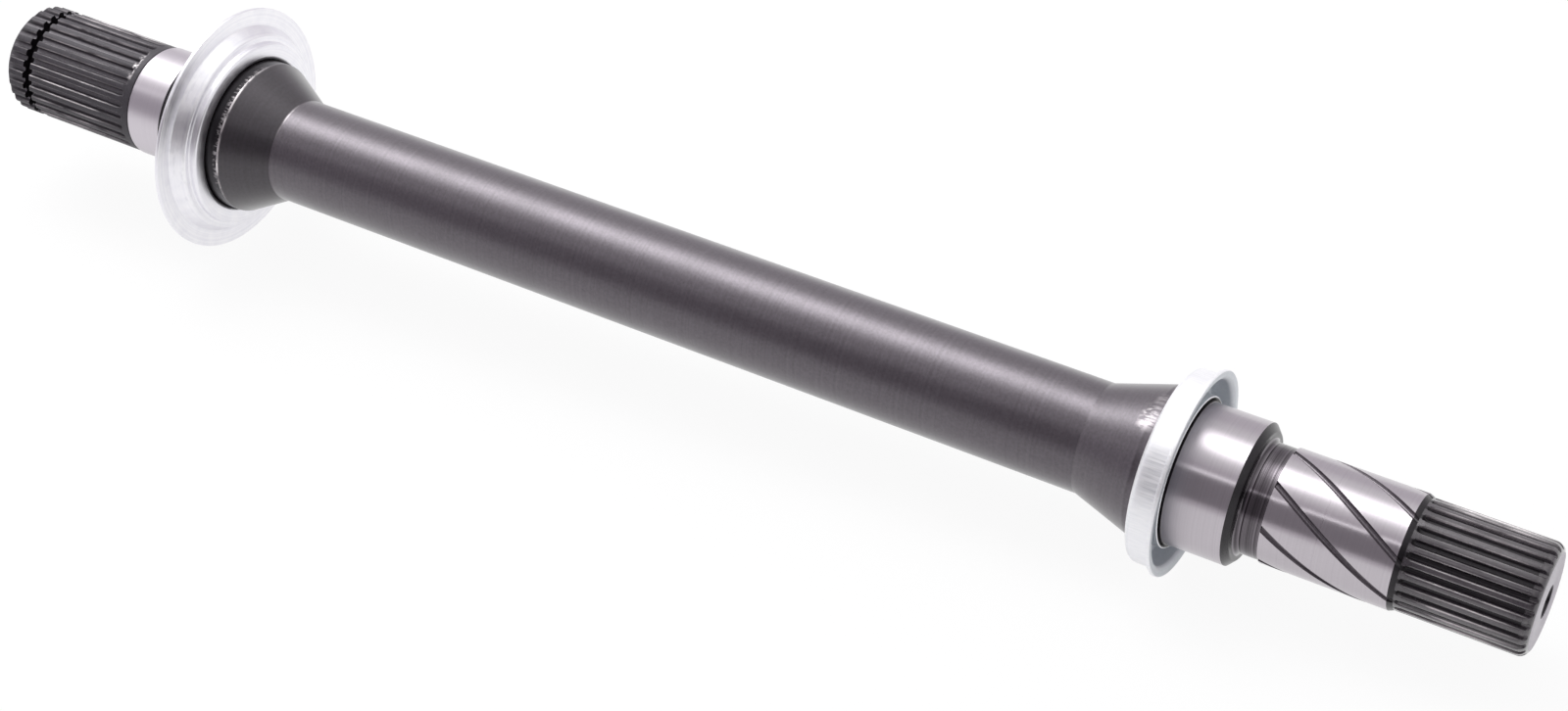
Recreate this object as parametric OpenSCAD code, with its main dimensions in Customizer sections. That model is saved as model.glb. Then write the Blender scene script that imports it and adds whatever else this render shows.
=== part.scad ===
// Axle shaft with a bearing seat, two pressed dust shields and a splined end on each side.
// The shaft's axis lies along X. The origin is the centre of the bearing seat.
// Outer end: clip-grooved spline for the drive joint. Inner end: spline for the gearbox.

/* [Outer spline] */
// Length from the outer end face to the bearing seat
outer_spline_len = 42.9; // [30:0.1:60]
// Diameter over the teeth
outer_spline_d = 29.6; // [28.5:0.1:29.8]
// Number of teeth
outer_spline_teeth = 28; // [20:1:32]
// Plain collar left between the tooth gaps and the bearing seat
outer_collar_len = 2.2; // [1:0.1:5]
// Turn of the first tooth gap about the axis, from the front towards the top
outer_spline_turn = 38.9; // [0:0.1:360]
// Chamfer on the outer end
outer_end_chamfer = 1.3; // [0.3:0.1:2]

/* [Clip groove] */
// Distance from the outer end face to the groove
clip_groove_inset = 6.1; // [3:0.1:10]
// Width of the groove
clip_groove_w = 2.3; // [1.2:0.1:3]
// Diameter at the bottom of the groove
clip_groove_d = 24.4; // [22:0.1:26.5]

/* [Bearing seat] */
// Diameter of the ground seat
seat_d = 30; // [29.9:0.01:30.2]
// Length of the ground seat
seat_len = 13; // [9:0.1:20]
// Lead-in chamfer of the seat
seat_chamfer = 0.4; // [0.2:0.1:1]
// Diameter of the shoulder that the bearing rests against
abutment_d = 36; // [33:0.1:38]
// Length of that shoulder
abutment_len = 10.6; // [6:0.1:16]

/* [Shield shoulder and outer taper] */
// Diameter of the shoulder that carries the flanged shield
shield_shoulder_d = 40.8; // [39:0.1:43]
// Length of that shoulder
shield_shoulder_len = 11.3; // [8:0.1:16]
// Length of the taper down to the bar
outer_taper_len = 11.9; // [6:0.1:20]

/* [Bar] */
// Diameter of the plain bar
bar_d = 27.35; // [24:0.05:29]
// Length of the plain bar
bar_len = 231.3; // [120:0.1:400]

/* [Inner taper and seal land] */
// Length of the taper up from the bar
inner_taper_len = 15; // [8:0.1:25]
// Diameter of the shoulder that stops the dust cover
cover_shoulder_d = 37; // [36:0.1:40]
// Length of that shoulder
cover_shoulder_len = 2.5; // [1.5:0.1:6]
// Diameter of the seat that the dust cover is pressed on
cover_seat_d = 35.2; // [34.8:0.1:35.6]
// Length of that seat beyond the collar of the cover
cover_seat_over = 0.4; // [0:0.1:2]
// Diameter of the ground seal land
seal_land_d = 34.7; // [34:0.05:34.9]
// Length of the ground seal land
seal_land_len = 14.4; // [10:0.1:25]
// Length of the chamfer at the inner end of the seal land
seal_chamfer_len = 1.5; // [0.8:0.1:2.2]
// Drop of that chamfer, measured on the radius
seal_chamfer_drop = 1.7; // [0.8:0.1:2.2]

/* [Neck] */
// Diameter of the turned neck between seal land and journal
neck_d = 26.9; // [25.4:0.1:27.2]
// Length of the neck
neck_len = 6; // [4:0.1:10]
// Radius of the fillet in the corner of the neck
neck_fillet = 1.4; // [0.6:0.1:1.8]

/* [Journal] */
// Diameter of the ground journal
journal_d = 27.8; // [27.4:0.1:28.4]
// Length of the ground journal
journal_len = 30.5; // [20:0.1:40]
// Length of the chamfer between journal and inner spline
journal_chamfer_len = 1.3; // [0.8:0.1:2.5]
// Number of helical oil grooves
oil_groove_count = 8; // [4:1:10]
// Width of an oil groove
oil_groove_w = 1.5; // [1:0.1:2.4]
// Depth of an oil groove
oil_groove_depth = 0.8; // [0.4:0.1:1.2]
// Axial travel of an oil groove in one full turn
oil_groove_lead = 150; // [100:1:250]
// Turn of the first oil groove at the start of the journal, from the front towards the top
oil_groove_turn = 18.5; // [0:0.1:360]

/* [Inner spline] */
// Length from the journal to the inner end face
inner_spline_len = 30.2; // [20:0.1:45]
// Diameter over the teeth
inner_spline_d = 26.7; // [25.5:0.1:27.2]
// Number of teeth
inner_spline_teeth = 26; // [20:1:30]
// Plain collar left between the journal and the tooth gaps
inner_collar_len = 0.4; // [0.2:0.1:2]
// Turn of the first tooth gap about the axis, from the front towards the top
inner_spline_turn = 42.8; // [0:0.1:360]
// Radius of the rounded inner end
inner_end_round = 2.4; // [1.4:0.1:3.5]

/* [Tooth gaps] */
// Depth of a tooth gap
gap_depth = 1.2; // [0.8:0.05:1.5]
// Width of a tooth gap at the tips of the teeth
gap_tip_w = 1.9; // [1.4:0.05:2.1]
// Width of a tooth gap at its floor
gap_floor_w = 1; // [0.5:0.05:1.3]
// Slope of the floor where a gap runs out
gap_runout_angle = 40; // [25:1:60]

/* [Centre holes] */
// Diameter of a centre hole at its mouth
centre_mouth_d = 8; // [5:0.1:10]
// Diameter of the pilot drilling
centre_pilot_d = 3.2; // [2:0.1:4.5]
// Depth of the pilot drilling below the cone
centre_pilot_len = 4; // [2:0.1:8]
// Full angle of the centre cone
centre_angle = 60; // [60:1:90]

/* [Flanged bearing shield] */
// Outside diameter of the flange
shield_d = 66.3; // [60:0.1:74]
// Thickness of the pressed sheet
shield_sheet = 1; // [0.7:0.1:1.3]
// Distance from the front of the flange to the tapered end of the shoulder
shield_setback = 8.9; // [7.5:0.1:10]
// Height of the first step above the flange
shield_step_h = 3.6; // [2.5:0.1:4.5]
// Height of the crown above the first step
shield_crown_h = 1.9; // [1.4:0.1:2.6]
// Width of the crown, from its hole to its edge
shield_crown_w = 4.6; // [3.8:0.1:5.5]
// Width of the first step, from the crown's edge to its own
shield_step_w = 1.9; // [1.7:0.1:2.5]
// Width that the first step spreads by on its way down to the flange
shield_slope_w = 1.6; // [0.8:0.1:2]
// Radius of the hollow bends in the front of the sheet
shield_hollow_bend = 0.5; // [0.3:0.1:0.6]
// Radius of the round bends in the front of the sheet
shield_round_bend = 0.8; // [0.4:0.1:0.9]
// Radius of the bend between crown and collar
shield_collar_bend = 1.3; // [0.8:0.1:1.6]
// Length of the collar that grips the shoulder, from the crown
shield_collar_len = 4.5; // [3:0.1:5]
// Clearance between shield and shoulder, on the radius
shield_fit = 0.01; // [0:0.005:0.05]

/* [Seal dust cover] */
// Outside diameter of the lip
cover_d = 50.5; // [49.5:0.1:54]
// Width that the lip stands out from the wall
cover_lip_w = 1.5; // [1:0.1:2]
// Thickness of the pressed sheet
cover_sheet = 1; // [0.8:0.1:1.3]
// Depth of the cover, back to lip
cover_depth = 7.3; // [6:0.1:10]
// Length of the collar that grips the seat
cover_collar_len = 6.2; // [4:0.1:7]
// Radius of the back corners
cover_back_round = 1.8; // [1.5:0.1:2.2]
// Radius of the bend under the lip
cover_lip_bend = 0.4; // [0.2:0.1:0.7]
// Clearance between cover and seat, on the radius
cover_fit = 0.01; // [0:0.005:0.05]

/* [Hidden] */
$fn = 96;

// Stations along the axis, from the outer end to the inner end
x_seat = -seat_len / 2;
x_outer_end = x_seat - outer_spline_len;
x_outer_collar = x_seat - outer_collar_len;
x_abutment = x_seat + seat_len;
x_shield_shoulder = x_abutment + abutment_len;
x_outer_taper = x_shield_shoulder + shield_shoulder_len;
x_bar = x_outer_taper + outer_taper_len;
x_inner_taper = x_bar + bar_len;
x_cover_shoulder = x_inner_taper + inner_taper_len;
x_cover_seat = x_cover_shoulder + cover_shoulder_len;
x_seal_land = x_cover_seat + cover_collar_len + cover_seat_over;
x_seal_chamfer = x_seal_land + seal_land_len;
x_neck = x_seal_chamfer + seal_chamfer_len;
x_journal = x_neck + neck_len;
x_journal_chamfer = x_journal + journal_len;
x_inner_spline = x_journal_chamfer + journal_chamfer_len;
x_inner_end = x_inner_spline + inner_spline_len;
x_shield = x_outer_taper - shield_setback;

// Length of a cutter that sticks out past the surface it cuts
past = 1;
// Chords in a rounded bend
bend_steps = 6;
// Length along a groove between two sections of its cutter
groove_slice = 1.6;
// Sides of that section
groove_sides = 10;

// Points on an arc round a centre, from one angle to another
function arc(centre, r, from, to) =
    [for (i = [0 : bend_steps]) let (a = from + (to - from) * i / bend_steps) centre + r * [cos(a), sin(a)]];

// Lays a solid that is built along Z down along X, with its +X side at the front, on -Y
module along_x() {
    rotate([0, 90, 0]) rotate([0, 0, -90]) children();
}

// Turned outline of the shaft: each point is a radius and a station
module turned_outline() {
    outer_r = outer_spline_d / 2;
    inner_r = inner_spline_d / 2;
    x_clip = x_outer_end + clip_groove_inset;
    x_fillet = x_neck + neck_fillet;
    seal_face_r = seal_land_d / 2 - seal_chamfer_drop;
    polygon(concat(
        [
            [0, x_outer_end],
            [outer_r - outer_end_chamfer, x_outer_end],
            [outer_r, x_outer_end + outer_end_chamfer],
            [outer_r, x_clip],
            [clip_groove_d / 2, x_clip],
            [clip_groove_d / 2, x_clip + clip_groove_w],
            [outer_r, x_clip + clip_groove_w],
            [outer_r, x_seat],
            [seat_d / 2 - seat_chamfer, x_seat],
            [seat_d / 2, x_seat + seat_chamfer],
            [seat_d / 2, x_abutment],
            [abutment_d / 2, x_abutment],
            [abutment_d / 2, x_shield_shoulder],
            [shield_shoulder_d / 2, x_shield_shoulder],
            [shield_shoulder_d / 2, x_outer_taper],
            [bar_d / 2, x_bar],
            [bar_d / 2, x_inner_taper],
            [cover_shoulder_d / 2, x_cover_shoulder],
            [cover_shoulder_d / 2, x_cover_seat],
            [cover_seat_d / 2, x_cover_seat],
            [cover_seat_d / 2, x_seal_land],
            [seal_land_d / 2, x_seal_land],
            [seal_land_d / 2, x_seal_chamfer],
            [seal_face_r, x_neck],
        ],
        arc([neck_d / 2 + neck_fillet, x_fillet], neck_fillet, 270, 180),
        [
            [neck_d / 2, x_journal],
            [journal_d / 2, x_journal],
            [journal_d / 2, x_journal_chamfer],
            [inner_r, x_inner_spline],
        ],
        arc([inner_r - inner_end_round, x_inner_end - inner_end_round], inner_end_round, 0, 90),
        [[0, x_inner_end]]
    ));
}

// Section of a tooth gap, floor at the origin, open towards +X, with its flanks carried on past both ends
module gap_section() {
    flare = (gap_tip_w - gap_floor_w) / 2 / gap_depth;
    top = gap_depth + past;
    polygon([
        [0, -gap_floor_w / 2],
        [0, gap_floor_w / 2],
        [top, gap_floor_w / 2 + flare * top],
        [top, -gap_floor_w / 2 - flare * top],
    ]);
}

// One tooth gap along +Z from the origin, its floor rising to the surface at the far end
module tooth_gap(len) {
    rise = gap_depth / tan(gap_runout_angle);
    reach = 2 * gap_depth / sin(gap_runout_angle);
    linear_extrude(len - rise) gap_section();
    translate([0, 0, len - rise]) rotate([0, gap_runout_angle, 0]) linear_extrude(reach) gap_section();
}

// All the tooth gaps of a spline, cut along +Z from a station
module tooth_gaps(d, teeth, turn, start, len) {
    for (i = [0 : teeth - 1])
        rotate([0, 0, -turn - 360 * i / teeth])
            translate([d / 2 - gap_depth, 0, start]) tooth_gap(len);
}

// Helical oil grooves of the journal, open at both of its ends
module oil_grooves() {
    helix = atan(PI * journal_d / oil_groove_lead);
    len = x_inner_spline - x_journal;
    turn = -360 * len / oil_groove_lead;
    for (i = [0 : oil_groove_count - 1])
        rotate([0, 0, -oil_groove_turn - 360 * i / oil_groove_count])
            translate([0, 0, x_journal])
                linear_extrude(len, twist = turn, slices = ceil(len / groove_slice), $fn = groove_sides)
                    translate([journal_d / 2, 0])
                        scale([oil_groove_depth, oil_groove_w / cos(helix) / 2]) circle(1);
}

// Centre hole drilled along +Z into an end face at the origin
module centre_hole() {
    mouth_r = centre_mouth_d / 2;
    pilot_r = centre_pilot_d / 2;
    slope = tan(centre_angle / 2);
    cone_len = (mouth_r - pilot_r) / slope;
    translate([0, 0, -past]) cylinder(h = cone_len + past, r1 = mouth_r + past * slope, r2 = pilot_r);
    translate([0, 0, -past]) cylinder(h = cone_len + centre_pilot_len + past, r = pilot_r);
}

module shaft() {
    color("dimgray") along_x() difference() {
        rotate_extrude() turned_outline();
        tooth_gaps(outer_spline_d, outer_spline_teeth, outer_spline_turn, x_outer_end - past,
            x_outer_collar - x_outer_end + past);
        translate([0, 0, x_inner_end + past]) mirror([0, 0, 1])
            tooth_gaps(inner_spline_d, inner_spline_teeth, inner_spline_turn, 0,
                inner_spline_len - inner_collar_len + past);
        oil_grooves();
        translate([0, 0, x_outer_end]) centre_hole();
        translate([0, 0, x_inner_end]) mirror([0, 0, 1]) centre_hole();
    }
}

// Pressed sheet with a wide flange, two steps and a crown whose collar grips the shoulder
module bearing_shield() {
    hole_r = shield_shoulder_d / 2 + shield_fit;
    crown_r = hole_r + shield_crown_w;
    step_r = crown_r + shield_step_w;
    foot_r = step_r + shield_slope_w;
    hollow = shield_hollow_bend;
    round = shield_round_bend;
    bend = shield_collar_bend;
    step_back = shield_step_h - shield_sheet;
    crown_top = shield_step_h + shield_crown_h;
    crown_back = crown_top - shield_sheet;
    collar_end = crown_top - shield_collar_len;
    draft = atan(shield_slope_w / shield_step_h);
    function wall_back(h) = foot_r - h * tan(draft) - shield_sheet / cos(draft);
    color("gainsboro") along_x() translate([0, 0, x_shield]) rotate_extrude() polygon(concat(
        [[shield_d / 2, -shield_sheet], [shield_d / 2, 0]],
        arc([foot_r + hollow, hollow], hollow, 270, 180 + draft),
        arc([step_r - round, shield_step_h - round], round, draft, 90),
        arc([crown_r + hollow, shield_step_h + hollow], hollow, 270, 180),
        arc([crown_r - round, crown_top - round], round, 0, 90),
        arc([hole_r + bend, crown_top - bend], bend, 90, 180),
        [[hole_r, collar_end], [hole_r + shield_sheet, collar_end]],
        [[hole_r + shield_sheet, crown_back], [crown_r - shield_sheet, crown_back]],
        [[crown_r - shield_sheet, step_back], [wall_back(step_back), step_back]],
        [[wall_back(-shield_sheet), -shield_sheet]]
    ));
}

// Pressed ring of U section, its collar on its seat and its lip turned outwards
module seal_dust_cover() {
    hole_r = cover_seat_d / 2 + cover_fit;
    wall_r = cover_d / 2 - cover_lip_w;
    round = cover_back_round;
    inside = round - cover_sheet;
    bend = cover_lip_bend;
    under_lip = cover_depth - cover_sheet;
    color("lightgray") along_x() translate([0, 0, x_cover_seat]) rotate_extrude() polygon(concat(
        arc([hole_r + round, round], round, 180, 270),
        arc([wall_r - round, round], round, 270, 360),
        arc([wall_r + bend, under_lip - bend], bend, 180, 90),
        [[cover_d / 2, under_lip], [cover_d / 2, cover_depth]],
        arc([wall_r + bend, under_lip - bend], bend + cover_sheet, 90, 180),
        arc([wall_r - round, round], inside, 360, 270),
        arc([hole_r + round, round], inside, 270, 180),
        [[hole_r + cover_sheet, cover_collar_len], [hole_r, cover_collar_len]]
    ));
}

shaft();
bearing_shield();
seal_dust_cover();
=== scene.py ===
"""Looks of an axle shaft with a spline at each end and two pressed dust shields.

Lengths are in millimetres along the shaft's axis, X, and become metres when a mesh is made.
Angles go round the axis in degrees, from the front (-Y) towards the top (+Z).
"""

import math

import bpy
from mathutils import Matrix, Vector


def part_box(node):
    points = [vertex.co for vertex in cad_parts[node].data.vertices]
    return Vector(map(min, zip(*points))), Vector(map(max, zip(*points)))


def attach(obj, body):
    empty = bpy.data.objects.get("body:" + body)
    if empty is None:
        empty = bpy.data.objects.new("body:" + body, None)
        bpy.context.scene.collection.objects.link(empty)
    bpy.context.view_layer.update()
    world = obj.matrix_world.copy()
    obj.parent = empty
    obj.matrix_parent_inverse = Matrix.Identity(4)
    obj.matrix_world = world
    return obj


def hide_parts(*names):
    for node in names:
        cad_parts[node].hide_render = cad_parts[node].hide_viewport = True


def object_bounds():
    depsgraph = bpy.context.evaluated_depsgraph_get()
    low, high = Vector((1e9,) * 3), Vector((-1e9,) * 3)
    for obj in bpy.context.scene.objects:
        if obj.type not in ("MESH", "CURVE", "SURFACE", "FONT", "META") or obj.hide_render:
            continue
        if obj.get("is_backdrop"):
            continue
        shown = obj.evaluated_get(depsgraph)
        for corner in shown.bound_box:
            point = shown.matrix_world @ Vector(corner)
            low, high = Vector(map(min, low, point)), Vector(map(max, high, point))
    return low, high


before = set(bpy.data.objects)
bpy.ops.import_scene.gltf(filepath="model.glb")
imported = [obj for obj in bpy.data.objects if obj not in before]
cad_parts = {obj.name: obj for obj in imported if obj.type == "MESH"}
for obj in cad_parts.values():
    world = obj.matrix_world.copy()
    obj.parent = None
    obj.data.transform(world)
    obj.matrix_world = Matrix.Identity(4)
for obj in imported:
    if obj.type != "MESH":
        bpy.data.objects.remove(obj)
cad_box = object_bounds()

MM = 0.001

# Stations of the shaft along X
OUTER_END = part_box("shaft")[0].x / MM
INNER_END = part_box("shaft")[1].x / MM
SEAT = (-6.5, 6.5)
SHIELD_SHOULDER = (17.1, 28.4)
BAR = (40.3, 271.6)
COVER_SHOULDER = (286.6, 289.1)
SEAL_LAND = (295.7, 310.1)
NECK = (311.6, 317.6)
JOURNAL = (317.6, 348.1)
INNER_SPLINE = 349.4

# Radii of the shaft
OUTER_SPLINE_R = 14.8
SEAT_R = 15.0
ABUTMENT_R = 18.0
SHIELD_SHOULDER_R = 20.4
BAR_R = 13.675
COVER_SHOULDER_R = 18.5
COVER_SEAT_R = 17.6
SEAL_LAND_R = 17.35
SEAL_FACE_R = 15.65
NECK_R = 13.45
NECK_FILLET = 1.4
JOURNAL_R = 13.9
INNER_SPLINE_R = 13.35

# Small shapes of the shaft
EDGE_ROUND = 0.25
SEAT_CHAMFER = 0.4
OUTER_END_CHAMFER = 1.3
INNER_END_ROUND = 2.4
CLIP_GROOVE = (-43.3, -41.0)
CLIP_GROOVE_R = 12.2
OUTER_TEETH, OUTER_TURN, OUTER_GAP_END = 28, 38.9, -8.7
INNER_TEETH, INNER_TURN, INNER_GAP_END = 26, 42.8, 349.8
GAP_DEPTH, GAP_TIP_W, GAP_FLOOR_W, GAP_RUNOUT = 1.2, 1.9, 1.0, 1.43
TOOTH_ROUND = 0.25
OIL_GROOVES, OIL_GROOVE_TURN, OIL_GROOVE_LEAD = 8, 18.5, 150.0
OIL_GROOVE_W, OIL_GROOVE_DEPTH = 1.5, 0.8
CENTRE_MOUTH_R, CENTRE_PILOT_R, CENTRE_CONE, CENTRE_PILOT = 4.0, 1.6, 4.16, 4.0
CENTRE_EDGE_W, CENTRE_EDGE_DEPTH, PILOT_TIP_R = 0.2, 0.1, 0.01

# Pressed sheets
SHIELD_FACE, SHIELD_R, SHIELD_SHEET = 19.5, 33.15, 1.0
SHIELD_STEP_H, SHIELD_CROWN_TOP, SHIELD_COLLAR = 3.6, 5.5, 4.5
SHIELD_HOLE_R, SHIELD_CROWN_R, SHIELD_STEP_R, SHIELD_FOOT_R = 20.41, 25.01, 26.91, 28.51
SHIELD_HOLLOW, SHIELD_BEND, SHIELD_COLLAR_BEND = 0.5, 0.8, 1.3
COVER_BACK, COVER_R, COVER_SHEET, COVER_DEPTH = 289.1, 25.25, 1.0, 7.3
COVER_HOLE_R, COVER_WALL_R, COVER_COLLAR = 17.61, 23.75, 6.2
COVER_BACK_ROUND, COVER_LIP_BEND, COVER_LEAD_IN = 1.8, 0.4, 0.6
SHEET_EDGE_ROUND = 0.22

# Rows, columns and steps of the meshes
PLAIN_COLUMNS = 192
GROOVE_COLUMNS, GROOVE_POINTS = 24, 9
BAR_ROWS, JOURNAL_ROWS = 24, 40
OUTER_TEETH_ROWS, INNER_TEETH_ROWS, RUNOUT_ROWS = 9, 8, 10
BEND_STEPS, EDGE_STEPS, TIP_STEPS = 8, 3, 12
# Step of the rounded tip where its bare end face starts, and of the neck's fillet where its painted shade
# ends
TIP_FACE_STEP, NECK_DARK_STEP = 10, 2
# A rounded corner has this many points, and takes at most this share of a side
CORNER_POINTS, CORNER_SHARE = 5, 0.4
SHARP_ANGLE = 32

# Feed marks: how far they are apart, and their share over the coat's crystals
FINE_FEED, NECK_FEED = (0.8, 0.35), (0.5, 0.95)
# Sizes of the other patterns, and the depths of their relief
CRYSTAL, OIL_CLOUD, COAT_RELIEF = 0.7, 14, 0.06
GRINDING_LINE = 0.5
PRESS_RING, PLATE_RELIEF = 0.6, 0.05
# Share of each relief that shows, and of scuffs over rings on a sheet
COAT_BUMP, PLATE_BUMP, SCUFF_SHARE = 0.25, 0.3, 0.5
# Values that a noise pattern mostly keeps between, on a coat and on a plated sheet
COAT_SPAN = {"From Min": 0.3, "From Max": 0.7}
PLATE_SPAN = {"From Min": 0.35, "From Max": 0.65}
# Share of a rub's reach within which it is at its full strength
RUB_CORE = 0.4
BARE_STEEL, BARE_ROUGHNESS = "#D8D2D4", 0.3
SCUFFED_ZINC = "#8E929A"

# The room as the metal sees it: tone at an angle round the axis, with one narrow strip brighter than white
ROOM_TONES = [
    (0, "#D6D1D6"), (5, "#D6D1D6"), (9, "#7A747A"), (51, "#7E787E"), (52.5, "#FFFFFF"), (54.5, "#FFFFFF"),
    (56, "#B8B2B8"), (66, "#DAD6DA"), (78, "#FFFFFF"), (138, "#FFFFFF"), (152, "#E2DEE3"), (180, "#E2DEE3"),
]
STRIP, STRIP_LEVEL = (52.5, 54.5), 2.4
# Beyond these shares of X in a direction, the room is pale on the left, and its low front dark on the right
LEFT_SIDE, LEFT_TONE = (-0.53, -0.6), "#C4BEC6"
RIGHT_SIDE, RIGHT_LOW_FRONT, RIGHT_TONE = (0.42, 0.55), (60, 50), "#3E3A40"

# Softbox: its ends along X, width, distance, angle round the axis, level, and the soft share of its sides
SOFTBOX_X, SOFTBOX_W, SOFTBOX_FAR, SOFTBOX_TURN, SOFTBOX_LEVEL = (-1400, 240), 1500, 1200, 105, 6.0
SOFTBOX_SOFT, SOFTBOX_FALL = {"X": 0.14, "Y": 0.5}, 2.0
FLOOR_HALF = 4000

# Camera of the photograph, as fitted to the shaft's outline
CAMERA_EYE = (445.82, -429.42, 447.79)
CAMERA_RIGHT = (0.86802, 0.49590, -0.02480)
CAMERA_DOWN = (0.31881, -0.59492, -0.73785)
CAMERA_AHEAD = (-0.38066, 0.63257, -0.67450)
PHOTO_W, FOCAL_PIXELS, SENSOR_W = 1600, 2800.4, 36


class Skin:
    """Points and faces of one piece, gathered ring by ring round the X axis."""

    def __init__(self):
        self.points = []
        self.faces = []
        self.finishes = []

    def band(self, rings, finish):
        """Joins rings of (x, radius, angle) points, each to the next.

        finish is a name, or a function of a face's row and column.
        """
        start, count = len(self.points), len(rings[0])
        for ring in rings:
            for x, r, angle in ring:
                a = math.radians(angle)
                self.points.append((x * MM, -r * math.cos(a) * MM, r * math.sin(a) * MM))
        for row in range(len(rings) - 1):
            near = start + row * count
            far = near + count
            for column in range(count):
                after = (column + 1) % count
                self.faces.append((near + column, far + column, far + after, near + after))
                self.finishes.append(finish(row, column) if callable(finish) else finish)

    def turned(self, outline, finish):
        """A plain turned stretch. outline is a list of (x, radius)."""
        angles = [360 * i / PLAIN_COLUMNS for i in range(PLAIN_COLUMNS)]
        self.band([[(x, r, a) for a in angles] for x, r in outline], finish)

    def piece(self, name, materials):
        """Makes the object, with sharp edges where faces meet at more than the sharp angle."""
        names = sorted(set(self.finishes))
        mesh = bpy.data.meshes.new(name)
        mesh.from_pydata(self.points, [], self.faces)
        for finish in names:
            mesh.materials.append(materials[finish])
        mesh.polygons.foreach_set("material_index", [names.index(f) for f in self.finishes])
        mesh.polygons.foreach_set("use_smooth", [True] * len(mesh.polygons))
        mesh.set_sharp_from_angle(angle=math.radians(SHARP_ANGLE))
        made = bpy.data.objects.new(name, mesh)
        bpy.context.scene.collection.objects.link(made)
        return made


def spaced(start, end, count):
    """Evenly spaced values, both ends included."""
    return [start + (end - start) * i / (count - 1) for i in range(count)]


def arc(x, r, radius, start, end, steps=BEND_STEPS):
    """Points (x, radius) on an arc. Angle 0 points away from the axis, 90 towards +X."""
    angles = [math.radians(start + (end - start) * i / steps) for i in range(steps + 1)]
    return [(x + radius * math.sin(a), r + radius * math.cos(a)) for a in angles]


def eased(outline, radius):
    """The outline with its inner corners rounded, as far as their sides allow."""
    out = [outline[0]]
    for before, corner, after in zip(outline, outline[1:], outline[2:]):
        middle = Vector(corner)
        to_before = Vector(before) - middle
        to_after = Vector(after) - middle
        cut = min(radius, CORNER_SHARE * to_before.length, CORNER_SHARE * to_after.length)
        start = middle + to_before.normalized() * cut
        end = middle + to_after.normalized() * cut
        for t in spaced(0, 1, CORNER_POINTS):
            out.append(tuple((1 - t) ** 2 * start + 2 * t * (1 - t) * middle + t**2 * end))
    return out + [outline[-1]]


def gap_section(tip_r, teeth):
    """One tooth gap with rounded roots and tips, as places (across, height above its floor)."""
    half_pitch = math.pi * tip_r / teeth
    right = [(GAP_FLOOR_W / 2, 0), (GAP_TIP_W / 2, GAP_DEPTH), (half_pitch, GAP_DEPTH)]
    left = [(-across, height) for across, height in reversed(right)]
    return eased(left + right, TOOTH_ROUND)[:-1]


def toothed_ring(x, outline_r, tip_r, depth, section, teeth, turn):
    """One ring of a spline: the turned radius, cut back by the tooth gaps to their depth."""
    ring = []
    for tooth in range(teeth):
        for across, height in section:
            r = min(outline_r, tip_r - depth + height) if depth > 0 else outline_r
            ring.append((x, r, turn + 360 * tooth / teeth + math.degrees(across / tip_r)))
    return ring


def gap_depth_at(distance):
    """Depth of a tooth gap at a distance from where it has run out, on the round path of its cutter."""
    t = min(max(distance / GAP_RUNOUT, 0), 1)
    return GAP_DEPTH * t * (2 - t)


def in_gap(section, column):
    """Whether a column of faces lies on the floor or the rounded roots of a tooth gap."""
    sides = section[column % len(section)], section[(column + 1) % len(section)]
    return max(height for across, height in sides) < TOOTH_ROUND


def centre_hole(end_x, inward, ring_of):
    """Rings of a centre hole, from its mouth inwards. ring_of gives a ring at a station and radius."""
    cone_end = end_x + inward * CENTRE_CONE
    pilot_end = cone_end + inward * CENTRE_PILOT
    outline = [(end_x, CENTRE_MOUTH_R + CENTRE_EDGE_W), (end_x + inward * CENTRE_EDGE_DEPTH, CENTRE_MOUTH_R)]
    outline += [(cone_end, CENTRE_PILOT_R), (pilot_end, CENTRE_PILOT_R), (pilot_end, PILOT_TIP_R)]
    return [ring_of(x, r) for x, r in outline]


def outer_spline(skin):
    """Splined outer end with its clip groove, up to the bearing seat."""
    section = gap_section(OUTER_SPLINE_R, OUTER_TEETH)

    def ring(x, r=OUTER_SPLINE_R):
        depth = gap_depth_at(OUTER_GAP_END - x)
        return toothed_ring(x, r, OUTER_SPLINE_R, depth, section, OUTER_TEETH, OUTER_TURN)

    # Gap floors are painted lighter than the tips, as painted light against their shade
    def finish(row, column):
        return "worn_gap" if in_gap(section, column) else "teeth"

    groove_start, groove_end = CLIP_GROOVE
    runout = OUTER_GAP_END - GAP_RUNOUT
    hole = centre_hole(OUTER_END, 1, ring)
    nose = [ring(OUTER_END, OUTER_SPLINE_R - OUTER_END_CHAMFER), ring(OUTER_END + OUTER_END_CHAMFER)]
    land = nose + [ring(groove_start)]
    groove = [ring(groove_start, CLIP_GROOVE_R), ring(groove_end, CLIP_GROOVE_R), ring(groove_end)]
    teeth = spaced(groove_end, runout, OUTER_TEETH_ROWS) + spaced(runout, OUTER_GAP_END, RUNOUT_ROWS)[1:]
    collar = [ring(OUTER_GAP_END), ring(SEAT[0] - EDGE_ROUND), ring(SEAT[0], OUTER_SPLINE_R - EDGE_ROUND)]
    # The centre hole and the clip groove take the near black finish: painted shade in the hollows
    skin.band(hole[:0:-1], "gap")
    # The flat end takes a pale copy of the coat: painted reflection
    skin.band([hole[1], hole[0], land[0]], "end_face")
    skin.band(land, finish)
    skin.band(land[-1:] + groove, "gap")
    skin.band([ring(x) for x in teeth], finish)
    skin.band(collar, "teeth")


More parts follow.
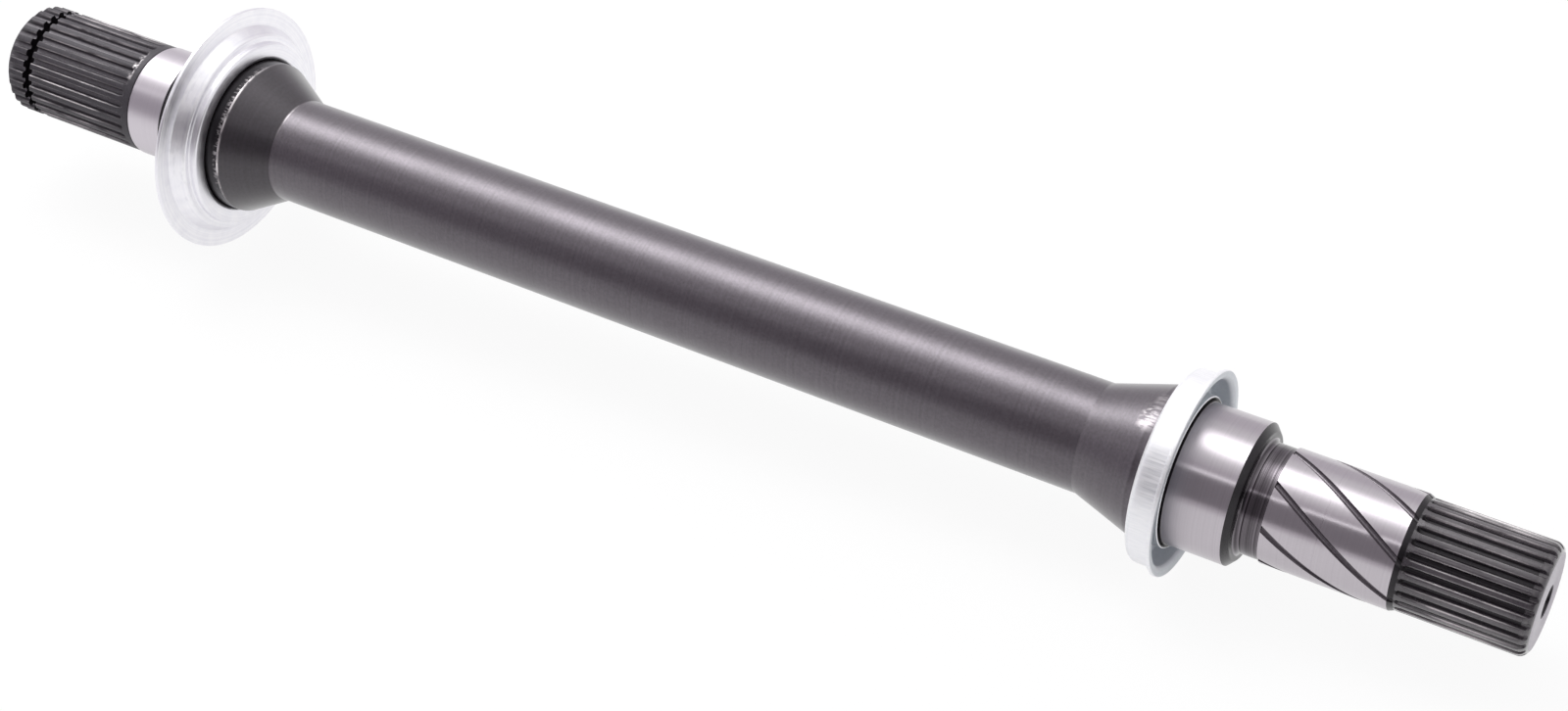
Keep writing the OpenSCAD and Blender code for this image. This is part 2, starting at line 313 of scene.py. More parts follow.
def plain_stretches(skin):
    """Everything turned between the two splines, apart from the journal."""
    seat = [(SEAT[0], SEAT_R - SEAT_CHAMFER), (SEAT[0] + SEAT_CHAMFER, SEAT_R), (SEAT[1], SEAT_R)]
    # The seat's chamfer, the shoulder under the shield, the seat under the cover's collar and the face
    # before the neck take the near black finish: painted shade
    skin.turned([(SEAT[0], OUTER_SPLINE_R - EDGE_ROUND), seat[0]], "gap")
    skin.turned(seat, "ground_seat")
    outer = [seat[-1], (SEAT[1], ABUTMENT_R), (SHIELD_SHOULDER[0], ABUTMENT_R)]
    outer += [(SHIELD_SHOULDER[0], SHIELD_SHOULDER_R), (SHIELD_SHOULDER[1] - EDGE_ROUND, SHIELD_SHOULDER_R)]
    skin.turned(eased(outer, EDGE_ROUND), "gap")

    bar = [(x, BAR_R) for x in spaced(*BAR, BAR_ROWS)]
    inner = [(x, COVER_SHOULDER_R) for x in COVER_SHOULDER]
    middle = eased([outer[-1], (SHIELD_SHOULDER[1], SHIELD_SHOULDER_R)] + bar + inner, EDGE_ROUND)

    # The outer cone takes a darker copy of the bar's finish, as painted shade
    def middle_finish(row, column):
        return "cone" if middle[row + 1][0] < BAR[0] else "bar"

    skin.turned(middle, middle_finish)
    seat_end = [(COVER_SHOULDER[1], COVER_SEAT_R), (SEAL_LAND[0], COVER_SEAT_R), (SEAL_LAND[0], SEAL_LAND_R)]
    skin.turned(inner[-1:] + seat_end, "gap")
    skin.turned([(x, SEAL_LAND_R) for x in SEAL_LAND], "ground")
    face = [(SEAL_LAND[1], SEAL_LAND_R), (NECK[0], SEAL_FACE_R)]
    fillet = arc(NECK[0] + NECK_FILLET, NECK_R + NECK_FILLET, NECK_FILLET, 270, 180)
    skin.turned(eased(face + fillet[: NECK_DARK_STEP + 1], EDGE_ROUND), "gap")
    skin.turned(fillet[NECK_DARK_STEP:] + [(NECK[1], NECK_R)], "neck")


def journal(skin):
    """Ground journal with helical oil grooves, and the chamfer behind it, darkened as painted shade."""
    helix = math.atan(2 * math.pi * JOURNAL_R / OIL_GROOVE_LEAD)
    half_w = OIL_GROOVE_W / math.cos(helix) / 2
    pitch = 2 * math.pi * JOURNAL_R / OIL_GROOVES
    inside = [half_w * share for share in spaced(-1, 1, GROOVE_POINTS)]
    between = spaced(half_w, pitch - half_w, GROOVE_COLUMNS - GROOVE_POINTS + 2)[1:-1]

    def ring(x, r):
        points = []
        start = OIL_GROOVE_TURN + 360 * (JOURNAL[0] - x) / OIL_GROOVE_LEAD
        for groove in range(OIL_GROOVES):
            turn = start + 360 * groove / OIL_GROOVES
            for offset in inside + between:
                depth = OIL_GROOVE_DEPTH * math.sqrt(max(0, 1 - (offset / half_w) ** 2))
                points.append((x, min(r, JOURNAL_R - depth), turn + math.degrees(offset / JOURNAL_R)))
        return points

    def finish(row, column):
        return "groove" if column % GROOVE_COLUMNS < GROOVE_POINTS - 1 else "ground"

    # The ring where the journal starts and the chamfer behind it take the near black finish: painted shade
    skin.band([ring(JOURNAL[0], NECK_R - OIL_GROOVE_DEPTH), ring(JOURNAL[0], JOURNAL_R)], "gap")
    skin.band([ring(x, JOURNAL_R) for x in spaced(*JOURNAL, JOURNAL_ROWS)], finish)
    chamfer = [ring(JOURNAL[1], JOURNAL_R), ring(INNER_SPLINE, INNER_SPLINE_R)]
    skin.band(chamfer + [ring(INNER_SPLINE, INNER_SPLINE_R - GAP_DEPTH)], "gap")


def inner_spline(skin):
    """Splined inner end with its rounded tip."""
    section = gap_section(INNER_SPLINE_R, INNER_TEETH)

    def ring(x, r=INNER_SPLINE_R):
        depth = gap_depth_at(x - INNER_GAP_END)
        return toothed_ring(x, r, INNER_SPLINE_R, depth, section, INNER_TEETH, INNER_TURN)

    # Gap floors of the inner spline take the near black finish: painted shade
    def finish(row, column):
        return "gap" if in_gap(section, column) else "oiled_teeth"

    round_x = INNER_END - INNER_END_ROUND
    runout = INNER_GAP_END + GAP_RUNOUT
    teeth = spaced(INNER_GAP_END, runout, RUNOUT_ROWS) + spaced(runout, round_x, INNER_TEETH_ROWS)[1:]
    tip = arc(round_x, INNER_SPLINE_R - INNER_END_ROUND, INNER_END_ROUND, 0, 90, TIP_STEPS)
    tip_rings = [ring(x, r) for x, r in tip]
    hole = centre_hole(INNER_END, -1, ring)
    skin.band([ring(x) for x in [INNER_SPLINE] + teeth], finish)
    skin.band(tip_rings[: TIP_FACE_STEP + 1], "oiled_teeth")
    # The flat end takes a pale copy of the coat: painted reflection
    skin.band(tip_rings[TIP_FACE_STEP:] + hole[:2], "end_face")
    # The centre hole takes the near black finish: painted shade
    skin.band(hole[1:], "gap")


def shaft_piece(materials):
    """The whole shaft, turned as one piece."""
    skin = Skin()
    outer_spline(skin)
    plain_stretches(skin)
    journal(skin)
    inner_spline(skin)
    return skin.piece("turned_shaft", materials)


def bearing_shield_piece(materials):
    """Pressed sheet with a wide flange, two steps and a crown whose collar grips the shoulder."""
    slope = math.atan((SHIELD_FOOT_R - SHIELD_STEP_R) / SHIELD_STEP_H)
    face, step, top = SHIELD_FACE, SHIELD_FACE + SHIELD_STEP_H, SHIELD_FACE + SHIELD_CROWN_TOP
    back, edge = face - SHIELD_SHEET, SHEET_EDGE_ROUND
    hollow, bend, collar_bend = SHIELD_HOLLOW, SHIELD_BEND, SHIELD_COLLAR_BEND
    collar_end, collar_r = top - SHIELD_COLLAR, SHIELD_HOLE_R + SHIELD_SHEET
    crown_back_r = SHIELD_CROWN_R - SHIELD_SHEET
    wall = SHIELD_FOOT_R - SHIELD_SHEET / math.cos(slope)
    step_back_r = wall - (SHIELD_STEP_H - SHIELD_SHEET) * math.tan(slope)
    rim_back_r = wall + SHIELD_SHEET * math.tan(slope)
    outline = arc(back + edge, SHIELD_R - edge, edge, -90, 0, EDGE_STEPS)
    outline += arc(face - edge, SHIELD_R - edge, edge, 0, 90, EDGE_STEPS)
    outline += arc(face + hollow, SHIELD_FOOT_R + hollow, hollow, 270, 180 + math.degrees(slope))
    outline += arc(step - bend, SHIELD_STEP_R - bend, bend, math.degrees(slope), 90)
    outline += arc(step + hollow, SHIELD_CROWN_R + hollow, hollow, 270, 180)
    outline += arc(top - bend, SHIELD_CROWN_R - bend, bend, 0, 90)
    outline += arc(top - collar_bend, SHIELD_HOLE_R + collar_bend, collar_bend, 90, 180)
    outline += [(collar_end, SHIELD_HOLE_R), (collar_end, collar_r)]
    outline += [(top - SHIELD_SHEET, collar_r), (top - SHIELD_SHEET, crown_back_r)]
    outline += [(step - SHIELD_SHEET, crown_back_r), (step - SHIELD_SHEET, step_back_r)]
    outline += [(back, rim_back_r), outline[0]]
    skin = Skin()
    skin.turned(outline, "zinc_flange")
    return skin.piece("flanged_bearing_shield", materials)


def dust_cover_piece(materials):
    """Pressed ring of U section, its collar on its seat and its lip turned outwards."""
    front, under_lip = COVER_BACK + COVER_DEPTH, COVER_BACK + COVER_DEPTH - COVER_SHEET
    collar_end, edge = COVER_BACK + COVER_COLLAR, SHEET_EDGE_ROUND
    back_round, inside_round = COVER_BACK_ROUND, COVER_BACK_ROUND - COVER_SHEET
    back_x = COVER_BACK + back_round
    collar_r, wall_r = COVER_HOLE_R + back_round, COVER_WALL_R - back_round
    lip_x, lip_r = under_lip - COVER_LIP_BEND, COVER_WALL_R + COVER_LIP_BEND
    outside = [(collar_end - COVER_LEAD_IN, COVER_HOLE_R)]
    outside += arc(back_x, collar_r, back_round, 180, 270)
    outside += arc(back_x, wall_r, back_round, 270, 360)
    outside += arc(lip_x, lip_r, COVER_LIP_BEND, 180, 90)
    outside += arc(under_lip + edge, COVER_R - edge, edge, -90, 0, EDGE_STEPS)
    outside += arc(front - edge, COVER_R - edge, edge, 0, 90, EDGE_STEPS)
    hollow = outside[-1:]
    hollow += arc(lip_x, lip_r, COVER_LIP_BEND + COVER_SHEET, 90, 180)
    hollow += arc(back_x, wall_r, inside_round, 360, 270)
    hollow += arc(back_x, collar_r, inside_round, 270, 180)
    tip = arc(collar_end - edge, COVER_HOLE_R + COVER_SHEET - edge, edge, 0, 90, EDGE_STEPS)
    skin = Skin()
    skin.turned(outside, "zinc_cup")
    # The cup's inside and its collar take a darker zinc: painted shade in the hollow
    skin.turned(hollow + tip[:1], "zinc_dull")
    skin.turned(tip, "zinc_cup")
    # The collar's lead-in takes the near black finish: painted shade in the gap on its seat
    skin.turned([tip[-1], (collar_end, COVER_HOLE_R + COVER_LEAD_IN), outside[0]], "gap")
    return skin.piece("seal_dust_cover_cup", materials)


def linear(hex_colour):
    """An sRGB hex colour as linear RGBA."""
    channels = [int(hex_colour[i : i + 2], 16) / 255 for i in (1, 3, 5)]
    return [c / 12.92 if c <= 0.04045 else ((c + 0.055) / 1.055) ** 2.4 for c in channels] + [1.0]


def plug(tree, made, inputs):
    """Sets or links inputs of a node. A node among the values is linked from the output it has in use."""
    for socket, value in inputs.items():
        if isinstance(value, bpy.types.Node):
            value = next(output for output in value.outputs if output.enabled)
        if isinstance(value, bpy.types.NodeSocket):
            tree.links.new(value, made.inputs[socket])
        else:
            made.inputs[socket].default_value = value


def node(tree, kind, inputs=None, **settings):
    """Adds a node with its settings and links."""
    made = tree.nodes.new(kind)
    for name, value in settings.items():
        setattr(made, name, value)
    plug(tree, made, inputs or {})
    return made


def material(name):
    """A new node material: itself, its tree and its shader."""
    made = bpy.data.materials.new(name)
    made.use_nodes = True
    return made, made.node_tree, made.node_tree.nodes["Principled BSDF"]


def measures(tree):
    """A point's place on the object in mm, and its x, radius and angle round the axis."""
    metres = node(tree, "ShaderNodeTexCoord").outputs["Object"]
    place = node(tree, "ShaderNodeVectorMath", {0: metres, "Scale": 1 / MM}, operation="SCALE")
    axes = node(tree, "ShaderNodeSeparateXYZ", {0: place}).outputs
    across = node(tree, "ShaderNodeVectorMath", {0: place, 1: (0, 1, 1)}, operation="MULTIPLY")
    front = node(tree, "ShaderNodeMath", {0: axes["Y"], 1: -1.0}, operation="MULTIPLY")
    turn = node(tree, "ShaderNodeMath", {0: axes["Z"], 1: front}, operation="ARCTAN2")
    radius = node(tree, "ShaderNodeVectorMath", {0: across}, operation="LENGTH")
    angle = node(tree, "ShaderNodeMath", {0: turn}, operation="DEGREES")
    return {"place": place, "x": axes["X"], "radius": radius, "angle": angle}


def rub(share, fleck, noise, **where):
    """One rubbed place.

    share is how bare it gets, fleck the size of its flecks along X, Y and Z, noise the values at which
    a fleck starts and is full, and where the middle and reach of its x, radius or angle.
    """
    return {"share": share, "fleck": fleck, "noise": noise, "where": where}


def rubbed(tree, at, rubs):
    """Share of a surface that is rubbed bare, in flecks, at the given places."""
    total = None
    for spot in rubs:
        stretch = [1 / size for size in spot["fleck"]]
        flecks = node(tree, "ShaderNodeMapping", {"Vector": at["place"], "Scale": stretch})
        flecks = node(tree, "ShaderNodeTexNoise", {"Vector": flecks, "Scale": 1.0, "Detail": 3.0})
        start, full = spot["noise"]
        span = {"From Min": start, "From Max": full, "To Max": spot["share"]}
        share = node(tree, "ShaderNodeMapRange", {0: flecks, **span})
        for name, (middle, reach) in spot["where"].items():
            off = node(tree, "ShaderNodeMath", {0: at[name], 1: middle}, operation="SUBTRACT")
            off = node(tree, "ShaderNodeMath", {0: off}, operation="ABSOLUTE")
            fade = {"From Min": RUB_CORE * reach, "From Max": reach, "To Min": 1.0, "To Max": 0.0}
            window = node(tree, "ShaderNodeMapRange", {0: off, **fade})
            share = node(tree, "ShaderNodeMath", {0: share, 1: window}, operation="MULTIPLY")
        if total is None:
            total = share
        else:
            total = node(tree, "ShaderNodeMath", {0: total, 1: share}, operation="MAXIMUM")
    return total


def phosphated_steel(name, tones, roughness, metallic, oil, rubs=(), feed=FINE_FEED):
    """Turned steel with a dark phosphate coat under oil: charcoal, with a soft gloss and fine feed marks.

    Where the coat is rubbed through, the bare steel shows in pale flecks.
    """
    made, tree, shader = material(name)
    at = measures(tree)
    dark, pale = [linear(tone) for tone in tones]
    feed_mm, feed_share = feed
    # Feed marks of the lathe are about 0.25 mm apart; they are drawn coarser so that they show
    lathe = node(
        tree, "ShaderNodeTexNoise",
        {"W": at["x"], "Scale": 1 / feed_mm, "Detail": 2.0}, noise_dimensions="1D",
    )
    # Crystals of the coat are too fine to show, so they are drawn coarser too
    grain = node(tree, "ShaderNodeTexNoise", {"Vector": at["place"], "Scale": 1 / CRYSTAL, "Detail": 3.0})
    cloud = node(tree, "ShaderNodeTexNoise", {"Vector": at["place"], "Scale": 1 / OIL_CLOUD, "Detail": 3.0})
    marks = node(tree, "ShaderNodeMix", {"Factor": feed_share, "A": grain, "B": lathe})
    tone = node(tree, "ShaderNodeMapRange", {0: marks, **COAT_SPAN})
    colour = node(tree, "ShaderNodeMix", {"Factor": tone, "A": dark, "B": pale}, data_type="RGBA")
    rough = node(
        tree, "ShaderNodeMapRange",
        {0: cloud, **COAT_SPAN, "To Min": roughness[0], "To Max": roughness[1]},
    )
    metal = metallic
    if rubs:
        bare = rubbed(tree, at, rubs)
        colour = node(
            tree, "ShaderNodeMix",
            {"Factor": bare, "A": colour, "B": linear(BARE_STEEL)}, data_type="RGBA",
        )
        metal = node(tree, "ShaderNodeMapRange", {0: bare, "To Min": metallic, "To Max": 1.0})
        rough = node(tree, "ShaderNodeMix", {"Factor": bare, "A": rough, "B": BARE_ROUGHNESS})
    bump = node(
        tree, "ShaderNodeBump",
        {"Height": marks, "Strength": COAT_BUMP, "Distance": COAT_RELIEF * MM},
    )
    plug(tree, shader, {"Base Color": colour, "Metallic": metal, "Roughness": rough, "Normal": bump})
    plug(tree, shader, {"Coat Weight": oil, "Coat Roughness": roughness[0]})
    return made


def ground_steel(name, tones, roughness, drawn_out):
    """Bare steel ground on its circumference: bright, sharp round the axis and drawn out along it."""
    made, tree, shader = material(name)
    dark, pale = [linear(tone) for tone in tones]
    # Grinding lines of a 60 grit wheel are 0.25 mm apart; they are drawn coarser so that they show
    lines = node(
        tree, "ShaderNodeTexNoise",
        {"W": measures(tree)["x"], "Scale": 1 / GRINDING_LINE, "Detail": 3.0}, noise_dimensions="1D",
    )
    colour = node(tree, "ShaderNodeMix", {"Factor": lines, "A": dark, "B": pale}, data_type="RGBA")
    rough = node(tree, "ShaderNodeMapRange", {0: lines, "To Min": roughness[0], "To Max": roughness[1]})
    tangent = node(tree, "ShaderNodeTangent", direction_type="RADIAL", axis="X")
    plug(tree, shader, {"Base Color": colour, "Metallic": 1.0, "Roughness": rough, "Tangent": tangent})
    # A quarter turn draws the gloss out along the axis
    plug(tree, shader, {"Anisotropic": drawn_out, "Anisotropic Rotation": 0.25})
    return made


def zinc_plate(name, tones, roughness, metallic, scuff, rubs):
    """Pressed sheet steel, bright zinc plated: pale and slightly blue, with fine rings and tool scuffs."""
    made, tree, shader = material(name)
    at = measures(tree)
    dark, pale = [linear(tone) for tone in tones]
    # Rings of the press tool are too fine to show, so they are drawn coarser
    rings = node(
        tree, "ShaderNodeTexNoise",
        {"W": at["radius"], "Scale": 1 / PRESS_RING, "Detail": 2.0}, noise_dimensions="1D",
    )
    scuffs = node(tree, "ShaderNodeMapping", {"Vector": at["place"], "Scale": [1 / size for size in scuff]})
    scuffs = node(tree, "ShaderNodeTexNoise", {"Vector": scuffs, "Scale": 1.0, "Detail": 3.0})
    marks = node(tree, "ShaderNodeMix", {"Factor": SCUFF_SHARE, "A": rings, "B": scuffs})
    tone = node(tree, "ShaderNodeMapRange", {0: marks, **PLATE_SPAN})
    plate = node(tree, "ShaderNodeMix", {"Factor": tone, "A": dark, "B": pale}, data_type="RGBA")
    worn = rubbed(tree, at, rubs)
    colour = node(
        tree, "ShaderNodeMix",
        {"Factor": worn, "A": plate, "B": linear(SCUFFED_ZINC)}, data_type="RGBA",
    )
    rough = node(tree, "ShaderNodeMapRange", {0: tone, "To Min": roughness[0], "To Max": roughness[1]})
    bump = node(
        tree, "ShaderNodeBump",
        {"Height": marks, "Strength": PLATE_BUMP, "Distance": PLATE_RELIEF * MM},
    )
    plug(tree, shader, {"Base Color": colour, "Metallic": metallic, "Roughness": rough, "Normal": bump})
    return made


def white_share(tree, to_camera, in_metal):
    """Share of plain white that a surface shows to the camera, and as a background in metal and glass."""
    rays = node(tree, "ShaderNodeLightPath").outputs
    seen = node(
        tree, "ShaderNodeMath",
        {0: rays["Is Glossy Ray"], 1: rays["Is Transmission Ray"]}, operation="MAXIMUM",
    )
    seen = node(tree, "ShaderNodeMath", {0: seen, 1: in_metal}, operation="MULTIPLY")
    return node(
        tree, "ShaderNodeMath",
        {0: rays["Is Camera Ray"], 1: to_camera, 2: seen}, operation="MULTIPLY_ADD",
    )


def white_sheet():
    """Matt white paper: it shows white to the camera, pale in the metal, and keeps a soft shadow."""
    made, tree, shader = material("white_paper_floor")
    plug(tree, shader, {"Base Color": linear("#EFEFF0"), "Roughness": 0.9})
    share = white_share(tree, to_camera=0.92, in_metal=0.85)
    glow = node(tree, "ShaderNodeEmission", {"Color": linear("#FFFFFF"), "Strength": 1.0})
    both = node(tree, "ShaderNodeMixShader", {0: share, 1: shader, 2: glow})
    plug(tree, tree.nodes["Material Output"], {"Surface": both})
    return made


def lay_floor():
    """A wide sheet that touches the flange's rim and the cover's lip."""
    low_x, low_z = SHIELD_FACE, -SHIELD_R
    high_x, high_z = COVER_BACK + COVER_DEPTH, -COVER_R
    slope = (high_z - low_z) / (high_x - low_x)
    half = FLOOR_HALF
    corners = [(-half, -half), (half, -half), (half, half), (-half, half)]
    points = [(x * MM, y * MM, (low_z + slope * (x - low_x)) * MM) for x, y in corners]
    mesh = bpy.data.meshes.new("floor")
    mesh.from_pydata(points, [], [(0, 1, 2, 3)])
    mesh.materials.append(white_sheet())
    floor = bpy.data.objects.new("floor", mesh)
    bpy.context.scene.collection.objects.link(floor)
    floor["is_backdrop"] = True


def light_room():
    """White to the camera; to the metal, a room round the X axis, dim in front and pale elsewhere."""
    world = bpy.data.worlds.new("studio")
    bpy.context.scene.world = world
    world.use_nodes = True
    tree = world.node_tree
    direction = node(tree, "ShaderNodeTexCoord").outputs["Generated"]
    way = node(tree, "ShaderNodeSeparateXYZ", {0: direction}).outputs
    front = node(tree, "ShaderNodeMath", {0: way["Y"], 1: -1.0}, operation="MULTIPLY")
    turn = node(tree, "ShaderNodeMath", {0: way["Z"], 1: front}, operation="ARCTAN2")
    share = node(tree, "ShaderNodeMapRange", {0: turn, "From Min": 0.0, "From Max": math.pi})
    room = node(tree, "ShaderNodeValToRGB", {0: share})
    stops = room.color_ramp.elements
    while len(stops) < len(ROOM_TONES):
        stops.new(0.5)
    for stop, (degrees, tone) in zip(stops, ROOM_TONES):
        level = STRIP_LEVEL if degrees in STRIP else 1
        stop.position = degrees / 180
        stop.color = [channel * level for channel in linear(tone)]
    left = node(
        tree, "ShaderNodeMapRange",
        {0: way["X"], "From Min": LEFT_SIDE[0], "From Max": LEFT_SIDE[1]},
    )
    room = node(
        tree, "ShaderNodeMix",
        {"Factor": left, "A": room, "B": linear(LEFT_TONE)}, data_type="RGBA", blend_type="LIGHTEN",
    )
    right = node(
        tree, "ShaderNodeMapRange",
        {0: way["X"], "From Min": RIGHT_SIDE[0], "From Max": RIGHT_SIDE[1]},
    )
    top, bottom = [math.radians(degrees) for degrees in RIGHT_LOW_FRONT]
    low = node(tree, "ShaderNodeMapRange", {0: turn, "From Min": top, "From Max": bottom})
    right = node(tree, "ShaderNodeMath", {0: right, 1: low}, operation="MULTIPLY")
    room = node(
        tree, "ShaderNodeMix",
        {"Factor": right, "A": room, "B": linear(RIGHT_TONE)}, data_type="RGBA",
    )
    white = white_share(tree, to_camera=1.0, in_metal=0.08)
    room = node(
        tree, "ShaderNodeMix",
        {"Factor": white, "A": room, "B": linear("#FFFFFF")}, data_type="RGBA",
    )
    plug(tree, tree.nodes["Background"], {"Color": room})


def softbox_cloth():
    """Diffuser cloth of a softbox: brightest in the middle, fading to its sides."""
    made, tree, shader = material("softbox_diffuser")
    tree.nodes.remove(shader)
    cloth = node(tree, "ShaderNodeTexCoord").outputs["Generated"]
    spot = node(tree, "ShaderNodeSeparateXYZ", {0: cloth}).outputs
    glow = SOFTBOX_LEVEL
    for axis, soft in SOFTBOX_SOFT.items():
        off = node(tree, "ShaderNodeMath", {0: spot[axis], 1: 0.5}, operation="SUBTRACT")
        off = node(tree, "ShaderNodeMath", {0: off}, operation="ABSOLUTE")
        fade = node(
            tree, "ShaderNodeMapRange",
            {0: off, "From Min": 0.5 - soft, "From Max": 0.5, "To Min": 1.0, "To Max": 0.0},
            interpolation_type="SMOOTHSTEP",
        )
        fade = node(tree, "ShaderNodeMath", {0: fade, 1: SOFTBOX_FALL}, operation="POWER")
        glow = node(tree, "ShaderNodeMath", {0: fade, 1: glow}, operation="MULTIPLY")
    light = node(tree, "ShaderNodeEmission", {"Color": linear("#FFFFFF"), "Strength": glow})
    # The room shows through, so that the light has no dark rim
    both = node(tree, "ShaderNodeAddShader", {0: light, 1: node(tree, "ShaderNodeBsdfTransparent")})
    plug(tree, tree.nodes["Material Output"], {"Surface": both})
    return made


def hang_softbox():
    """One long softbox overhead, a little behind the shaft, so that its light runs along the bar."""
    turn = math.radians(SOFTBOX_TURN)
    middle = Vector((SOFTBOX_X[0] + SOFTBOX_X[1], 0, 0)) / 2
    middle += Vector((0, -math.cos(turn), math.sin(turn))) * SOFTBOX_FAR
    side = Vector((0, math.sin(turn), math.cos(turn))) * SOFTBOX_W / 2
    half = Vector((SOFTBOX_X[1] - SOFTBOX_X[0], 0, 0)) / 2
    corners = [-half - side, half - side, half + side, -half + side]
    mesh = bpy.data.meshes.new("softbox")
    mesh.from_pydata([(middle + corner) * MM for corner in corners], [], [(0, 1, 2, 3)])
    mesh.materials.append(softbox_cloth())
    box = bpy.data.objects.new("softbox", mesh)
    bpy.context.scene.collection.objects.link(box)
    box.visible_camera = False
    box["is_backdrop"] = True


def set_camera():
    """Puts the camera where the photograph was taken from."""
    lens = bpy.data.cameras.new("camera")
    lens.sensor_width = SENSOR_W
    lens.lens = SENSOR_W * FOCAL_PIXELS / PHOTO_W
    camera = bpy.data.objects.new("camera", lens)
    bpy.context.scene.collection.objects.link(camera)
    turn = Matrix((CAMERA_RIGHT, -Vector(CAMERA_DOWN), -Vector(CAMERA_AHEAD))).transposed()
    camera.matrix_world = Matrix.Translation(Vector(CAMERA_EYE) * MM) @ turn.to_4x4()
    bpy.context.scene.camera = camera


# Edges of the outer tips, and the ends of the teeth beside the bearing seat
RUBBED_OUTER_TEETH = [
    rub(0.75, fleck=(7, 1.5, 1.5), noise=(0.28, 0.58), x=(-28, 21), radius=(14.57, 0.23)),
    rub(0.9, fleck=(1, 1, 1), noise=(0.4, 0.6), x=(-9.0, 0.9), radius=(14.7, 0.3), angle=(72, 24)),
]
# Edges of the inner tips
RUBBED_INNER_TEETH = [
    rub(0.9, fleck=(9, 1.5, 1.5), noise=(0.25, 0.55), x=(364, 15), radius=(13.12, 0.24)),
]
# Rim of the shoulder that carries the flanged shield
RUBBED_SHOULDER = [
    rub(0.6, fleck=(1.8, 0.6, 0.6), noise=(0.5, 0.62), x=(28.4, 1.6), radius=(20.4, 0.4), angle=(45, 70)),
]
# Both ends of the outer cone, and two patches on the inner cone
RUBBED_BAR = [
    rub(1.0, fleck=(2, 3, 3), noise=(0.3, 0.55), x=(28.42, 0.36), angle=(45, 75)),
    rub(0.35, fleck=(2, 4, 4), noise=(0.3, 0.7), x=(40.3, 0.35), angle=(75, 30)),
    rub(0.5, fleck=(6, 0.9, 0.9), noise=(0.42, 0.56), x=(285.8, 2.6), angle=(75, 14)),
    rub(0.35, fleck=(6, 0.9, 0.9), noise=(0.3, 0.65), x=(286.5, 1.8), angle=(93, 8)),
]
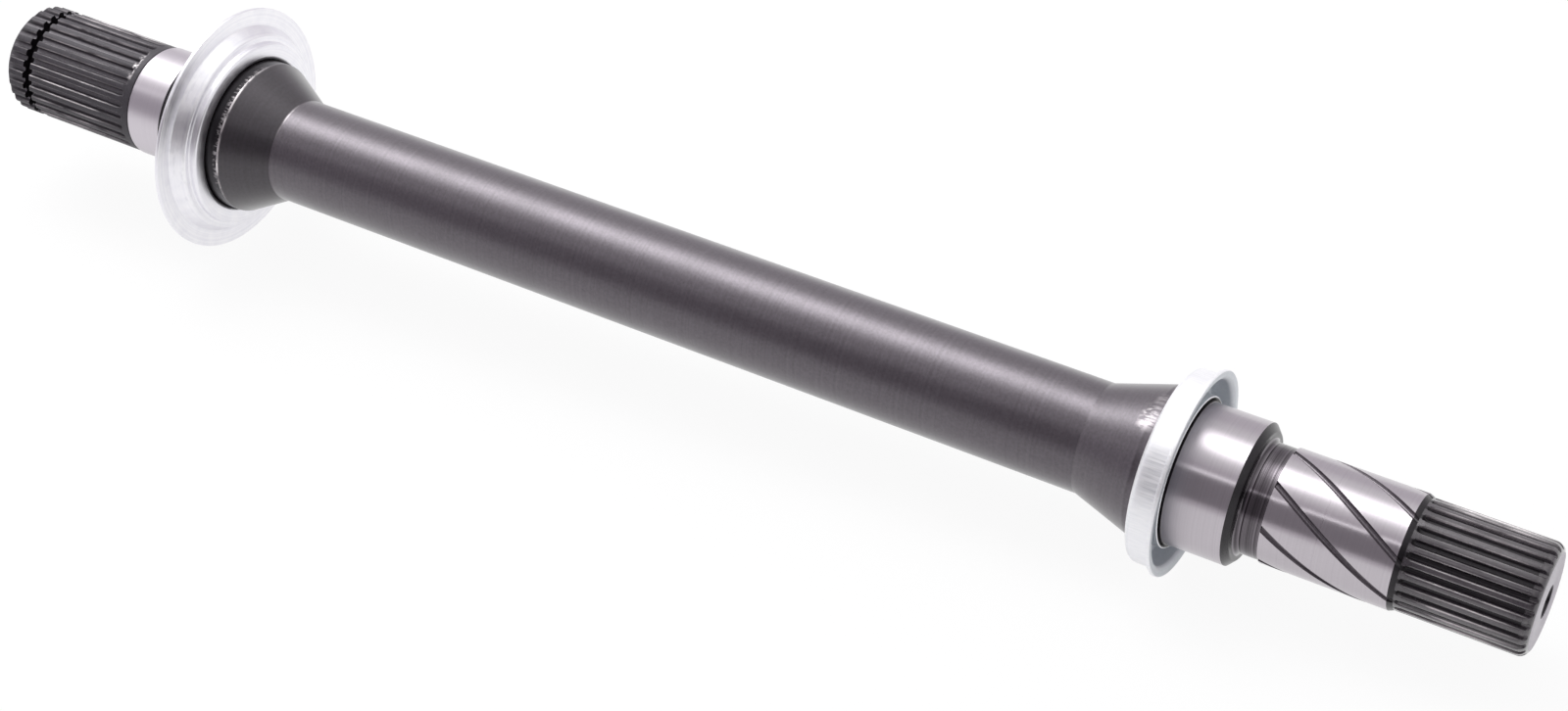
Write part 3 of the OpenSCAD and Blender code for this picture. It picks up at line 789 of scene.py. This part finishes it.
# Front of the cup's wall, and of the flange's steps
SCUFFED_CUP = [
    rub(0.45, fleck=(12, 0.5, 0.5), noise=(0.36, 0.7), x=(293.4, 3.4), angle=(38, 20)),
]
SCUFFED_FLANGE = [
    rub(0.2, fleck=(1, 3, 3), noise=(0.5, 0.75), x=(21, 4), radius=(27, 4), angle=(30, 60)),
]
finishes = {
    # Charcoal bar with one long soft light
    "bar": phosphated_steel(
        "phosphated_turned_steel", ("#494249", "#5C555D"), roughness=(0.32, 0.4), metallic=0.7, oil=1.0,
        rubs=RUBBED_BAR,
    ),
    # Darker than the bar, as painted shade, with bright worn rims
    "cone": phosphated_steel(
        "phosphated_cone_painted_shade", ("#2D272D", "#3B353C"), roughness=(0.32, 0.4), metallic=0.7, oil=1.0,
        rubs=RUBBED_BAR,
    ),
    # Dull dark tips with pale edges
    "teeth": phosphated_steel(
        "phosphated_rolled_teeth", ("#302C32", "#3E3A41"), roughness=(0.5, 0.58), metallic=0.3, oil=0.2,
        rubs=RUBBED_OUTER_TEETH,
    ),
    # Black, wet tips with bright edges
    "oiled_teeth": phosphated_steel(
        "oiled_rolled_teeth", ("#302A30", "#3E383F"), roughness=(0.2, 0.28), metallic=0.3, oil=1.0,
        rubs=RUBBED_INNER_TEETH,
    ),
    # Dull grey floors, lighter than the tips: painted light against the shade in the gaps
    "worn_gap": phosphated_steel(
        "phosphated_gaps_painted_light", ("#524E54", "#625E64"), roughness=(0.46, 0.54), metallic=0.3, oil=0.3,
        rubs=RUBBED_OUTER_TEETH,
    ),
    # Nearly black hollows, faces and chamfers: the dark oily coat, deepened as painted shade
    "gap": phosphated_steel(
        "phosphated_hollows_coat_and_painted_shade", ("#1A171B", "#262227"), roughness=(0.24, 0.34), metallic=0.6, oil=0.2,
        rubs=RUBBED_SHOULDER,
    ),
    # Dark and bright turning lines side by side
    "neck": phosphated_steel(
        "phosphated_turned_neck", ("#242024", "#7C767C"), roughness=(0.12, 0.18), metallic=1.0, oil=0.1,
        feed=NECK_FEED,
    ),
    # Dark grey lines with a little gloss
    "groove": phosphated_steel(
        "milled_oil_groove", ("#544D54", "#665F66"), roughness=(0.26, 0.34), metallic=0.6, oil=0.6,
    ),
    # Pale grey ends, lighter than the bar's coat: a painted reflection of the pale room
    "end_face": phosphated_steel(
        "phosphated_end_painted_reflection", ("#9A939C", "#ACA6AF"), roughness=(0.38, 0.46), metallic=0.5, oil=0.4,
    ),
    # Bright lands with a long light and a sharp dark side
    "ground": ground_steel("ground_steel", ("#B4AEB4", "#C4BEC4"), roughness=(0.26, 0.32), drawn_out=0.92),
    # Bright land with a broad soft light
    "ground_seat": ground_steel(
        "ground_seat_steel", ("#C8C2C9", "#D4CED5"), roughness=(0.31, 0.37), drawn_out=0.4,
    ),
    # Nearly white, with soft reflections on its bends
    "zinc_flange": zinc_plate(
        "zinc_plated_flange", ("#EDECF2", "#FAF9FC"), roughness=(0.3, 0.4), metallic=1.0, scuff=(3, 3, 3),
        rubs=SCUFFED_FLANGE,
    ),
    # Satin white, scuffed along the axis
    "zinc_cup": zinc_plate(
        "zinc_plated_cup", ("#ECEDF1", "#FAFAFC"), roughness=(0.42, 0.52), metallic=0.8, scuff=(4, 0.5, 0.5),
        rubs=SCUFFED_CUP,
    ),
    # Blue grey inside, darker and duller than the outside: painted shade in the cup's hollow
    "zinc_dull": zinc_plate(
        "zinc_cup_inside_painted_shade", ("#D0D5D9", "#DCE0E4"), roughness=(0.42, 0.52), metallic=0.4,
        scuff=(1, 1, 1), rubs=SCUFFED_CUP,
    ),
}
pieces = [
    (shaft_piece, "shaft", "shaft_steel"),
    (bearing_shield_piece, "bearing_shield", "plated_sheet"),
    (dust_cover_piece, "seal_dust_cover", "plated_sheet"),
]
for make, cad_node, slot in pieces:
    piece = make(finishes)
    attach(piece, "root")
    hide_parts(cad_node)

lay_floor()
light_room()
hang_softbox()
set_camera()
bpy.context.scene.view_settings.view_transform = "Standard"

boxes = {"cad": cad_box, "visual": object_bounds()}
{name: [list(corner) for corner in box] for name, box in boxes.items()}
